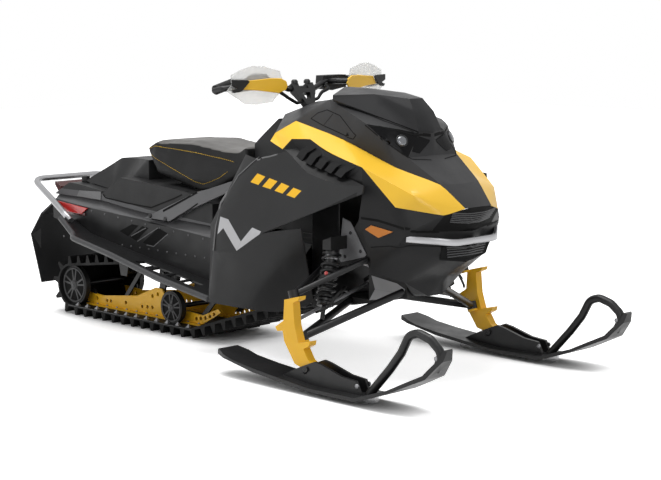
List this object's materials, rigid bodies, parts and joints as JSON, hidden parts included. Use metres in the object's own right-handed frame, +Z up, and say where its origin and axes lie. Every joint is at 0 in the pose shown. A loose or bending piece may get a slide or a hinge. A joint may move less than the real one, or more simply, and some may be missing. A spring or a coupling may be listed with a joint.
{
  "type": "snowmobile",
  "caption": "Single-seat snowmobile with a faceted hood, coupled steering skis, a lugged rubber track under a tunnel and a rear cargo deck.",
  "frame": {"origin": "middle of the bounding box, on the ground under the track and skis", "axes": "+X to the front, +Y to the vehicle's left, +Z up"},
  "size_m": [2.717, 1.13, 1.108],
  "materials": {
    "black_plastic": "moulded, finely grained",
    "grey_plastic": "moulded, faceted",
    "yellow_plastic": "gloss",
    "yellow_metal": "gloss paint",
    "black_metal": "satin paint",
    "silver_metal": "brushed",
    "grey_metal": "satin paint",
    "steel": "bright",
    "track_rubber": "moulded",
    "grip_rubber": "matt",
    "wheel_plastic": "moulded",
    "ski_plastic": "moulded",
    "seat_vinyl": "stitched vinyl",
    "smoke_screen": "dark",
    "lamp_lens": "clear",
    "clear_shield": "frosted clear",
    "red_lens": "translucent red",
    "amber_lens": "translucent amber"
  },
  "bodies": {
    "chassis": {"belly_pan": "black_plastic", "board_tubes": "grey_metal", "bulkhead": "silver_metal", "cargo_anchors": "silver_metal", "drive_axle": "steel", "engine_block": "black_metal", "front_bumper": "silver_metal", "headlamps": "lamp_lens", "idler_wheels": "wheel_plastic", "lower_panels": "black_plastic", "nose_grilles": "black_plastic", "rear_bumper": "silver_metal", "rear_deck": "black_plastic", "running_boards": "black_plastic", "seat": "seat_vinyl", "seat_struts": "grey_metal", "shock_bodies": "black_metal", "shock_springs": "black_metal", "shoulder_panels": "yellow_plastic", "side_louvers": "black_plastic", "side_panels": "grey_plastic", "side_reflectors": "amber_lens", "skid_arms": "black_metal", "slide_rails": "yellow_metal", "snow_flap": "black_plastic", "suspension_arms": "black_metal", "tail_lenses": "red_lens", "tank_cover": "black_plastic", "track": "track_rubber", "tunnel": "black_metal", "upper_cowl": "black_plastic", "windshield": "smoke_screen"},
    "steering": {"guard_mounts": "black_metal", "steering_post": "black_metal", "handlebar": "black_metal", "grips": "grip_rubber", "hand_guards": "yellow_plastic", "guard_shields": "clear_shield", "hand_controls": "black_plastic", "control_cables": "grip_rubber"},
    "right_ski": {"ski_right": "ski_plastic", "ski_runner_right": "steel", "spindle_right": "yellow_metal"},
    "right_rod": {"tie_rod_right": "steel"},
    "left_ski": {"ski_left": "ski_plastic", "ski_runner_left": "steel", "spindle_left": "yellow_metal"},
    "left_rod": {"tie_rod_left": "steel"}
  },
  "joints": [
    {"name": "steering", "type": "hinge", "parent": "chassis", "child": "steering", "pos_m": [0.171, 0, 1.01], "axis": [-0.5322, 0, 0.8466], "range_deg": [-32, 32]},
    {"name": "right_spindle", "type": "hinge", "parent": "chassis", "child": "right_ski", "pos_m": [0.643, -0.455, 0.175], "axis": [-0.2964, 0, 0.9551], "range_deg": [-24.89, 24.89]},
    {"name": "right_rod_pin", "type": "hinge", "parent": "right_ski", "child": "right_rod", "pos_m": [0.561, -0.4617, 0.203], "axis": [-0.2964, 0, 0.9551], "range_deg": [-25.78, 25.78]},
    {"name": "left_spindle", "type": "hinge", "parent": "chassis", "child": "left_ski", "pos_m": [0.643, 0.455, 0.175], "axis": [-0.2964, 0, 0.9551], "range_deg": [-24.89, 24.89]},
    {"name": "left_rod_pin", "type": "hinge", "parent": "left_ski", "child": "left_rod", "pos_m": [0.561, 0.4617, 0.203], "axis": [-0.2964, 0, 0.9551], "range_deg": [-25.78, 25.78]}
  ],
  "couplings": [
    {"joint": "right_spindle", "follows": "steering", "ratio": 0.7779},
    {"joint": "right_rod_pin", "follows": "steering", "ratio": -0.8057},
    {"joint": "left_spindle", "follows": "steering", "ratio": 0.7779},
    {"joint": "left_rod_pin", "follows": "steering", "ratio": -0.8057}
  ]
}
